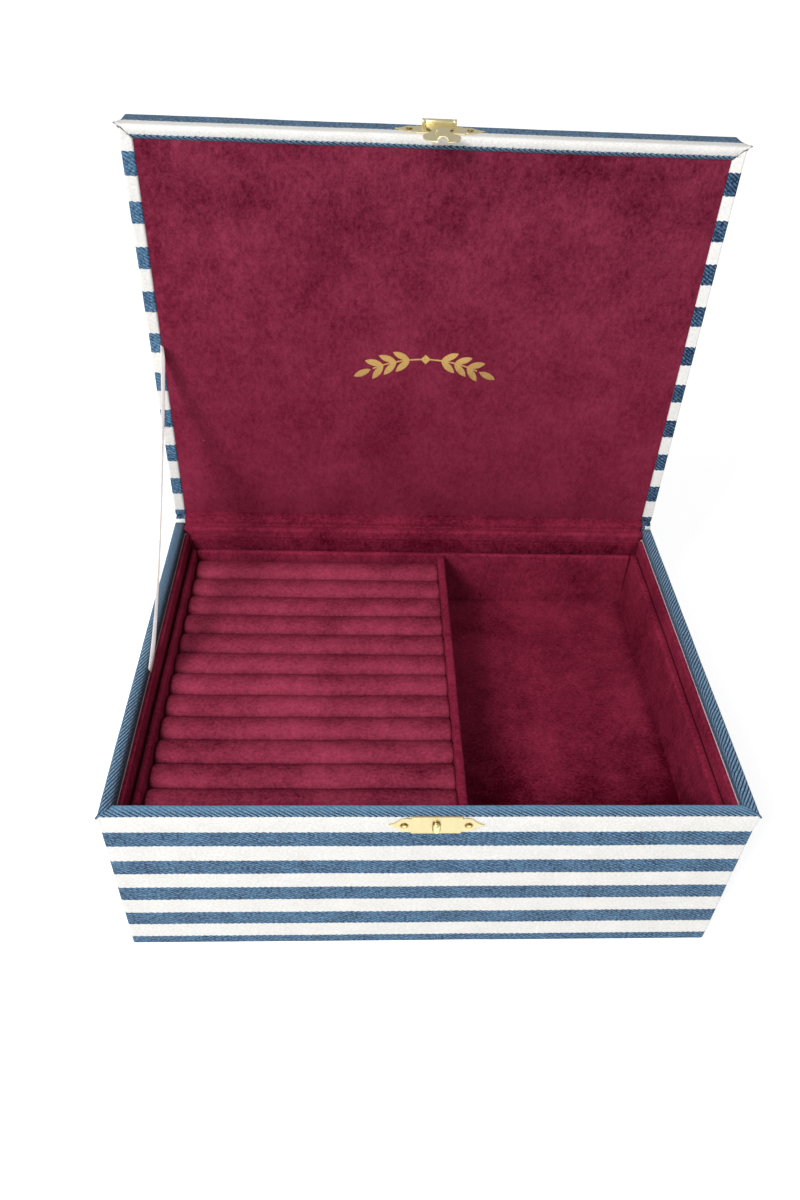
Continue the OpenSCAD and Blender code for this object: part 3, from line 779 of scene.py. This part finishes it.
finish_piece(lid_wrap(), "lid", twill, "striped_twill", "lid_wrap_cloth")


# ---- Hinge strips ----

# TOP_SHADE is painted shade on the hinge strips, deepening as they go up the lid over TOP_REACH.
TOP_SHADE = 0.28
TOP_REACH = 5 * MM
END_FOLD = 3.5 * MM
END_SHIFT_UP = 16.3
# Painted light on the hinge cloth, and a darker blue with lighter cream at its ends.
STRIP_RIBS_AND_LIGHT = 0.5
END_STRIP_RIBS_AND_LIGHT = -0.15
BEND_STEPS = 14
CREASE_PAST = 0.4 * MM
CREASE_W = 0.8 * MM
SUEDE_T = 0.8 * MM
SUEDE_R = 3.86 * MM
SUEDE_END = 1.0 * MM
CHAMFER = 0.9 * MM
GROOVE = 0.9 * MM


def strip_along_x(name, half_length, profile, offset, thickness, seed, wrinkle):
    """A strip swept along the box's width from a profile of rows (y, z, way, how freely it wrinkles).
    The cloth's stripes are shifted at its folded ends."""
    marks = lines_between(-half_length, half_length, 3 * MM)
    points = []
    for x in marks:
        for y, z, way, free in profile:
            lift = wrinkle * wave((x * 0.1, way, 0.0), 2.6 * MM, seed)
            lift += wrinkle * 0.5 * wave((x, way, 0.0), 13 * MM, seed + 5)
            points.append(Vector((x, y - lift * free * 0.7, z + lift * free * 0.7)))
    rows = len(profile)
    faces = strip_faces(len(marks), rows)
    at_end = [abs(p.x) > half_length - END_FOLD for p in points]
    uvs = []
    for face in faces:
        shift = offset + (END_SHIFT_UP if at_end[face[0]] else 0.0)
        uvs.append([(-points[v].x / MM, profile[v % rows][2] / MM + shift) for v in face])
    folds = [END_STRIP_RIBS_AND_LIGHT if end else STRIP_RIBS_AND_LIGHT for end in at_end]
    dims = [TOP_SHADE * clamp((p.z - HINGE_Z) / TOP_REACH) for p in points]
    return thicken(make_object(name, points, faces, uvs, fold=folds, dim=dims), thickness)


def hinge_profile(radius, start, corners, end_z, free_from, groove=0.0):
    """Profile rows: straight runs over the wall's rim, a quarter turn about the hinge, then up the lid.
    The strip dips into a groove of this depth where it leaves the rim."""
    rows, way = [], 0.0
    last = Vector(start)
    for spot in map(Vector, corners):
        run = (spot - last).length
        for share in lines_between(0.0, 1.0, 0.7 * MM / max(run, 1e-6))[1:]:
            p = last.lerp(spot, share)
            rows.append((p.x, p.y, way + run * share, free_from))
        way += run
        last = spot
    crease_way = way + CREASE_PAST
    for k in range(1, BEND_STEPS + 1):
        turn = math.pi / 2 * k / BEND_STEPS
        y = HINGE_Y - radius * math.cos(turn)
        z = HINGE_Z + radius * math.sin(turn)
        rows.append((y, z, way + radius * turn, 1.0))
    way += radius * math.pi / 2
    rise = end_z - HINGE_Z - radius
    for k in range(1, 4):
        rows.append((HINGE_Y, HINGE_Z + radius + rise * k / 3, way + rise * k / 3, 0.6))
    dipped = []
    for y, z, at, free in rows:
        dip = groove * math.exp(-((at - crease_way) / CREASE_W) ** 2)
        dipped.append((y + dip * 0.5, z - dip * 0.85, at, free))
    return dipped


suede_low, suede_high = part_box("hinge_suede")
inner_y = HALF_D - WALL_T
over_rim = [(inner_y, BASE_H - CHAMFER), (inner_y + CHAMFER, BASE_H), (HINGE_Y - SUEDE_R, BASE_H)]
suede_profile = hinge_profile(SUEDE_R, (inner_y, TURN_IN_Z), over_rim, suede_high.z - SUEDE_END,
                              0.6, GROOVE)
hinge_suede = strip_along_x("hinge_strip_suede", suede_high.x, suede_profile, 0.0, SUEDE_T, 21.0, 0.7 * MM)
finish_piece(hinge_suede, None, suede, "burgundy_suede", "hinge_suede")
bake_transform(hinge_suede)

cloth_low, cloth_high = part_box("hinge_cloth")
cloth_r = HINGE_Y - cloth_low.y
cloth_y = HALF_D - 0.8 * MM
cloth_profile = hinge_profile(cloth_r, (cloth_y, BASE_H - 0.4 * MM), [(cloth_y, HINGE_Z)],
                              LID_Z + 0.3 * MM, 0.3)
hinge_cloth = strip_along_x("hinge_strip_cloth", cloth_high.x, cloth_profile, 0.5, CLOTH_T, 31.0, 0.15 * MM)
finish_piece(hinge_cloth, None, twill, "striped_twill", "hinge_cloth")
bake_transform(hinge_cloth)


# ---- Ribbon stay ----

RIBBON_W = 10 * MM
RIBBON_T = 0.2 * MM
RIBBON_SAG = 12 * MM
RIBBON_TWIST = math.radians(8.5)
RIBBON_STEPS = 48
RIBBON_COLUMNS = 5
ribbon_low, ribbon_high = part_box("ribbon_stay")


def ribbon():
    """The stay: a strip on edge that sags between the left wall and the lid, with a slight twist."""
    x_mid = (ribbon_low.x + ribbon_high.x) / 2
    slant = RIBBON_W / 2 * math.sqrt(2)
    start = Vector((ribbon_low.y + slant * 0.75, ribbon_low.z))
    end = Vector((ribbon_high.y, ribbon_high.z - slant * 0.8))
    points, uvs = [], []
    length = (end - start).length
    for i in range(RIBBON_STEPS + 1):
        s = i / RIBBON_STEPS
        spot = start.lerp(end, s) + Vector((0, -4 * RIBBON_SAG * s * (1 - s)))
        slope = (end - start) + Vector((0, -4 * RIBBON_SAG * (1 - 2 * s)))
        side = Vector((-slope.y, slope.x)).normalized()
        twist = RIBBON_TWIST * math.sin(math.pi * s)
        for j in range(RIBBON_COLUMNS):
            across = (j / (RIBBON_COLUMNS - 1) - 0.5) * RIBBON_W
            reach = across * math.cos(twist)
            x = x_mid + across * math.sin(twist)
            points.append(Vector((x, spot.x + side.x * reach, spot.y + side.y * reach)))
            uvs.append((across / MM, s * length / MM))
    faces = strip_faces(RIBBON_STEPS + 1, RIBBON_COLUMNS)
    flat = make_object("ribbon", points, faces, [[uvs[v] for v in face] for face in faces])
    return thicken(flat, RIBBON_T, 0.0)


stay = ribbon()
finish_piece(stay, None, ribbon_cloth, "cream_ribbon", "ribbon_stay")
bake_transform(stay)


# ---- Suede covered card: linings, ledges and tray ----

def suede_board(node, body, radius, step, unevenness, seed, shifts=((0, 0, 0), (0, 0, 0)), shape=None,
                dim=None):
    """A piece of suede glued over card, with rounded edges and a surface that waves a little. The shifts
    move the CAD box's corners, shape moves a point, and dim says how much painted shade darkens it there."""
    low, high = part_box(node)
    low = low + Vector(shifts[0])
    high = high + Vector(shifts[1])

    def bend(p, out):
        swell = 0.6 * wave(p, 35 * MM, seed) + 0.4 * wave(p, 11 * MM, seed + 7)
        p = p + out * unevenness * (swell - 0.4)
        return shape(p, low, high) if shape else p

    points, faces = rounded_block(low, high, radius, step, 3, bend)
    dims = [dim(p, low, high) if dim else 0.0 for p in points]
    piece = make_object(node + "_suede", points, faces, dim=dims)
    return finish_piece(piece, body, suede, "burgundy_suede", node)


CARD_SHOWN = 0.1 * MM
CARD_T = HALF_W - WALL_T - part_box("lining_right")[1].x
OVER_CARD = CARD_T - CARD_SHOWN
LINING_UP = 0.1 * MM
BACK_DROP = 1.6 * MM
# BACK_SHADE: painted shade over the whole back lining.
BACK_SHADE = 0.35
LINING_SHIFTS = {
    "lining_front": ((0, -OVER_CARD, 0), (0, 0, LINING_UP)),
    "lining_left": ((-OVER_CARD, 0, 0), (0, 0, LINING_UP)),
    "lining_right": ((0, 0, 0), (OVER_CARD, 0, LINING_UP)),
    "lining_back": ((0, 0, 0), (0, CARD_T, -BACK_DROP)),
}
for seed, (name, shifts) in enumerate(LINING_SHIFTS.items()):
    dim = (lambda p, low, high: BACK_SHADE) if name == "lining_back" else None
    board = suede_board(name, "base", 0.35 * MM, 4 * MM, 0.08 * MM, seed, shifts, dim=dim)
    if name == "lining_back":
        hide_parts("lining_card_back")
for seed, name in enumerate(("tray_ledge_left", "tray_ledge_right", "floor_lining"), 10):
    suede_board(name, "base", 0.8 * MM, 5 * MM, 0.2 * MM, seed)

# Each tray wall's axis, and how far its inner face moves along it at the foot.
TRAY_LEAN = {"tray_left": (0, 1.5 * MM), "tray_right": (0, -1.5 * MM), "tray_back": (1, -0.7 * MM),
             "tray_front": (1, 0.7 * MM)}
PULL = 0.3 * MM
TRAY_PRESS = 1.0 * MM
TRAY_EDGE_R = 1.35 * MM
# Reaches of the painted shade along the tray floor's front and right wall.
FRONT_SHADE_REACH = 85 * MM
RIGHT_SHADE_REACH = 9 * MM


def leaning(name):
    """A function that gives a tray wall's inner face its lean and its suede's long soft pulls."""
    axis, lean = TRAY_LEAN[name]

    def shape(p, low, high):
        inner = (p[axis] - low[axis]) / (high[axis] - low[axis])
        if lean < 0:
            inner = 1 - inner
        up = min(1.0, (p.z - low.z) / (high.z - low.z))
        pull = PULL * wave((0.08 * p[1 - axis], p.z, lean), 6 * MM, 17.0)
        p[axis] += clamp(inner) * (lean * (1 - up) ** 1.5 + pull)
        return p

    return shape


def near_edge(gap, reach):
    """1 at an edge, and smoothly less up to this reach from it."""
    share = clamp(1 - gap / reach)
    return share * share * (3 - 2 * share)


def floor_dim(p, low, high):
    """Painted shade on the tray floor along its front and its right wall."""
    return min(1.0, 0.6 * near_edge(p.y - low.y, FRONT_SHADE_REACH) + 0.5 * near_edge(high.x - p.x, RIGHT_SHADE_REACH))


def wall_dim(p, low, high):
    """Painted shade on the right wall, a little all over and more towards the floor."""
    return 0.1 + 0.3 * near_edge(p.z - low.z, high.z - low.z)


for seed, name in enumerate(TRAY_LEAN, 20):
    press, dim = (TRAY_PRESS, wall_dim) if name == "tray_right" else (0.0, None)
    suede_board(name, "tray", TRAY_EDGE_R, 3 * MM, 0.3 * MM, seed, ((0, 0, 0), (press, 0, 0)),
                leaning(name), dim)
suede_board("tray_divider", "tray", TRAY_EDGE_R, 3 * MM, 0.3 * MM, 25)
suede_board("tray_floor", "tray", 0.8 * MM, 3 * MM, 0.5 * MM, 30, dim=floor_dim)


# ---- Cloth simulation ----

SWELL_FRAMES = 20


def inflate(piece, cap):
    """Swells a closed piece by Blender's cloth under pressure, and holds its pinned points. Each point
    moves no further than cap."""
    scene = bpy.context.scene
    scene.frame_set(1)
    before = [v.co.copy() for v in piece.data.vertices]
    modifier = piece.modifiers.new("swell", "CLOTH")
    set_all(modifier.settings, quality=5, mass=0.15, tension_stiffness=15.0, compression_stiffness=15.0,
            bending_stiffness=0.5, use_pressure=True, uniform_pressure_force=4.0,
            vertex_group_mass="pinned")
    modifier.settings.effector_weights.gravity = 0.0
    modifier.collision_settings.use_collision = False
    set_all(modifier.point_cache, frame_start=1, frame_end=SWELL_FRAMES)
    for number in range(1, SWELL_FRAMES + 1):
        scene.frame_set(number)
    shown = piece.evaluated_get(bpy.context.evaluated_depsgraph_get())
    after = [v.co.copy() for v in shown.data.vertices]
    piece.modifiers.remove(modifier)
    scene.frame_set(1)
    for vertex, old, new in zip(piece.data.vertices, before, after):
        move = new - old
        if move.length > cap:
            move *= cap / move.length
        vertex.co = old + move


def pin(piece, test):
    """Pins the points that pass a test."""
    group = piece.vertex_groups.new(name="pinned")
    group.add([v.index for v in piece.data.vertices if test(v.co)], 1.0, "REPLACE")


def soften(piece):
    """Rounds a swelled piece once more when it is rendered."""
    piece.modifiers.new("smooth", "SUBSURF").render_levels = 1
    return piece


# ---- Lid's padded panel ----

PAD_SWELL = 1.0 * MM
PAD_OVER = 0.35 * MM
PAD_DOWN = 1.8 * MM
PAD_EDGE_R = 0.68 * MM
PAD_HELD = 12 * MM


def lid_pad():
    """The padded suede panel: card with thin wadding, its face crowned between its held edges. It
    presses against the rim's cloth on three sides and covers the end of the hinge strip."""
    low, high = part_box("lid_lining_pad")
    low = low + Vector((-PAD_OVER, 0, -PAD_DOWN))
    high = high + Vector((PAD_OVER, 0, PAD_OVER))
    piece = make_object("lid_pad", *rounded_block(low, high, PAD_EDGE_R, 4 * MM))
    pin(piece, lambda p: p.y > low.y + 0.15 * MM)
    inflate(piece, PAD_SWELL)
    for vertex in piece.data.vertices:
        p = vertex.co
        if p.y < low.y + 0.2 * MM:
            gap = min(p.x - low.x, high.x - p.x, p.z - low.z, high.z - p.z)
            waves = wave(p, 50 * MM, 3.3) * 0.35 * MM + wave(p, 18 * MM, 8.1) * 0.15 * MM
            p.y += clamp(gap / PAD_HELD) * waves
    return soften(piece)


panel = lid_pad()
finish_piece(panel, "lid", panel_suede, "burgundy_suede", "lid_lining_pad")


def pressed_sprig():
    """The foil sprig, pressed onto the panel's crowned and waving face."""
    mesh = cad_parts["foil_sprig"].data.copy()
    bm = bmesh.new()
    bm.from_mesh(mesh)
    bmesh.ops.remove_doubles(bm, verts=bm.verts, dist=0.002 * MM)
    bmesh.ops.subdivide_edges(bm, edges=[e for e in bm.edges if e.calc_length() > 1.5 * MM], cuts=2)
    bmesh.ops.triangulate(bm, faces=bm.faces)
    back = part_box("foil_sprig")[1].y
    face = BVHTree.FromObject(panel, bpy.context.evaluated_depsgraph_get())
    for vertex in bm.verts:
        start = Vector((vertex.co.x, back - 20 * MM, vertex.co.z))
        hit = face.ray_cast(start, Vector((0, 1, 0)))[0]
        vertex.co.y += hit.y - back + 0.03 * MM
    bm.to_mesh(mesh)
    bm.free()
    mesh.name = "sprig"
    return add_object("sprig", mesh)


finish_piece(pressed_sprig(), "lid", foil, "gold_foil", "foil_sprig")


# ---- Ring rolls ----

ROLLS = 12
ROLL_AROUND = 28
ROLL_STEP = 2.0 * MM
ROLL_SWELL = 0.5 * MM
ROLL_END = 2.6 * MM
END_SHIFT = 0.4 * MM
CREASE_WANDER = 0.5 * MM
FULLNESS = 0.7
PRESSED = 1.06
ROLL_DRIFT = 2.4 * MM
RIGHT_SHIFT = 1.6 * MM
ROLL_FOOT = 3.5 * MM


def full_round(turn):
    """(sideways, up) on a circle that is filled out towards a square."""
    return [math.copysign(abs(part) ** FULLNESS, part) for part in (math.cos(turn), math.sin(turn))]


def roll_points(node, seed):
    """Rings of points along a roll, with a short rounded left end and a right end against the divider."""
    low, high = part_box(node)
    radius = (high.z - low.z) / 2
    centre = (low + high) / 2
    start = low.x - END_SHIFT
    marks = [start + ROLL_END * (1 - math.cos(a * math.pi / 10)) for a in range(5)]
    marks += lines_between(start + ROLL_END, high.x + RIGHT_SHIFT, ROLL_STEP)
    points = []
    for x in marks:
        left = clamp((x - start) / ROLL_END)
        slim = 0.62 + 0.38 * math.sqrt(1 - (1 - left) ** 2)
        size = radius * 0.94 * slim * (1 + 0.015 * wave((x, seed, 0), 12 * MM, seed))
        for k in range(ROLL_AROUND):
            side, up = full_round(2 * math.pi * (k + 0.5) / ROLL_AROUND)
            points.append(Vector((x, centre.y + size * side, centre.z + size * up)))
    return points, len(marks)


def roll_faces(rings, first):
    """Quads round a roll whose points start at first, with a cap at each end."""
    faces = []
    for i in range(rings - 1):
        for k in range(ROLL_AROUND):
            a = first + i * ROLL_AROUND + k
            b = first + i * ROLL_AROUND + (k + 1) % ROLL_AROUND
            faces.append((a, b, b + ROLL_AROUND, a + ROLL_AROUND))
    faces.append([first + k for k in range(ROLL_AROUND)][::-1])
    faces.append([first + (rings - 1) * ROLL_AROUND + k for k in range(ROLL_AROUND)])
    return faces


def crease(x, number):
    """How far the crease behind a roll lies from its even place: nowhere at the tray's walls, and a
    little nearer the front between them."""
    if number in (1, ROLLS + 1):
        return 0.0
    drift = ROLL_DRIFT * math.sin(math.pi * ((number - 1) / ROLLS) ** 0.8)
    return CREASE_WANDER * wave((x, number * 0.05, 0.0), 28 * MM, 2.0 + number) - drift


def ring_rolls():
    """Twelve stuffed rolls, swelled together and then pressed against their neighbours."""
    boxes = [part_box(f"ring_roll_{i}") for i in range(1, ROLLS + 1)]
    points, faces = [], []
    for i in range(1, ROLLS + 1):
        own, rings = roll_points(f"ring_roll_{i}", 40.0 + i)
        faces += roll_faces(rings, len(points))
        points += own
    mesh = bpy.data.meshes.new("rolls")
    mesh.from_pydata([tuple(p) for p in points], [], faces)
    whole = add_object("rolls", mesh)
    middle_z = (boxes[0][0].z + boxes[0][1].z) / 2
    pin(whole, lambda p: p.z < middle_z - ROLL_FOOT)
    inflate(whole, ROLL_SWELL)
    moved = [v.co.copy() for v in mesh.vertices]
    bpy.data.objects.remove(whole)
    reach = (boxes[0][0].y - boxes[1][0].y) / 2 - 0.03 * MM
    per = len(moved) // ROLLS
    made = []
    for i, (low, high) in enumerate(boxes, 1):
        centre_y = (low.y + high.y) / 2
        own, fronts = [], []
        for p in moved[(i - 1) * per:i * per]:
            flat = max(-reach, min(reach, (p.y - centre_y) * PRESSED))
            side = flat / reach
            behind, before = crease(p.x, i), crease(p.x, i + 1)
            shift = before + (behind - before) * (side + 1) / 2
            top = max(0.0, (p.z - middle_z) / (high.z - middle_z))
            lump = wave((p.x, i * 0.07, p.y * 0.3), 20 * MM, 60.0 + i) * 0.4 + wave(p, 7 * MM, 70.0) * 0.16
            own.append(Vector((p.x, centre_y + flat + shift, p.z + top * lump * MM)))
            fronts.append((1 - side) / 2)
        piece = make_object(f"roll_{i}", own, roll_faces(per // ROLL_AROUND, 0), front=fronts)
        made.append(soften(piece))
    return made


for number, piece in enumerate(ring_rolls(), 1):
    finish_piece(piece, "tray", roll_suede, "burgundy_suede", f"ring_roll_{number}")


# ---- CAD nodes that stay, with better materials ----

dress(grey_board, "bottom_board", "front_board", "back_board", "left_board", "right_board", "lid_board",
      "lid_rail_front", "lid_rail_back", "lid_rail_left", "lid_rail_right")
dress(cream_card, "lining_card_front", "lining_card_left", "lining_card_right", "lid_lining_card")
dress(under_paper, "underside_sheet")
dress(foam, "lid_foam", "ring_bed")

BRASS_NODES = {
    "clasp_base_plate": plate_brass,
    "clasp_catch": catch_brass,
    "clasp_base_nails": nail_brass,
    "clasp_lid_plate": lid_brass,
    "clasp_pin": lid_brass,
    "clasp_lid_nails": lid_nail_brass,
    "hasp_flap": lid_brass,
}
for name, metal in BRASS_NODES.items():
    dress(metal, name)
    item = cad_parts[name]
    item.modifiers.new("weld", "WELD").merge_threshold = 0.002 * MM
    set_all(item.modifiers.new("worn_edges", "BEVEL"), width=0.12 * MM, segments=2, limit_method="ANGLE",
            angle_limit=math.radians(35), harden_normals=True)


# ---- Floor, light and camera ----

def studio():
    """A white floor and sky, a key light from the upper left front and a weak fill from the right."""
    floor_mesh = bpy.data.meshes.new("floor")
    floor_mesh.from_pydata([(-6, -6, 0), (6, -6, 0), (6, 6, 0), (-6, 6, 0)], [], [(0, 1, 2, 3)])
    floor = add_object("floor", floor_mesh)
    floor.location.z = -0.05 * MM
    paint = Finish("floor_white", Roughness=0.9, Base_Color=(0.8, 0.8, 0.8, 1), Emission_Strength=0.58,
                   Emission_Color=(1, 1, 1, 1))
    floor_mesh.materials.append(paint.material)
    world = bpy.data.worlds.new("studio")
    world.use_nodes = True
    sky = world.node_tree.nodes["Background"].inputs
    sky["Color"].default_value = (1.0, 1.0, 1.0, 1)
    sky["Strength"].default_value = 0.5
    bpy.context.scene.world = world
    target = Vector((0, 0.02, 0.1))
    for name, place, size, power in (("key", (-1.0, -1.05, 1.35), 0.6, 29.0),
                                     ("fill", (0.9, -0.9, 0.8), 0.9, 0.8)):
        lamp = set_all(bpy.data.lights.new(name, "AREA"), size=size, energy=power)
        aim = (target - Vector(place)).to_track_quat("-Z", "Y").to_euler()
        set_all(add_object(name, lamp), location=place, rotation_euler=aim)
    bpy.context.scene.view_settings.view_transform = "Standard"


def camera():
    """The camera that took the picture, worked out from the box's corners."""
    data = set_all(bpy.data.cameras.new("camera"), sensor_width=36, lens=27.866, clip_start=0.01,
                   shift_x=-0.009274, shift_y=0.006269)
    aim = [math.radians(a) for a in (49.0546, -2.4593, -1.9068)]
    bpy.context.scene.camera = set_all(add_object("camera", data), rotation_euler=aim,
                                       location=(-0.029355, -0.315413, 0.390988))


studio()
camera()
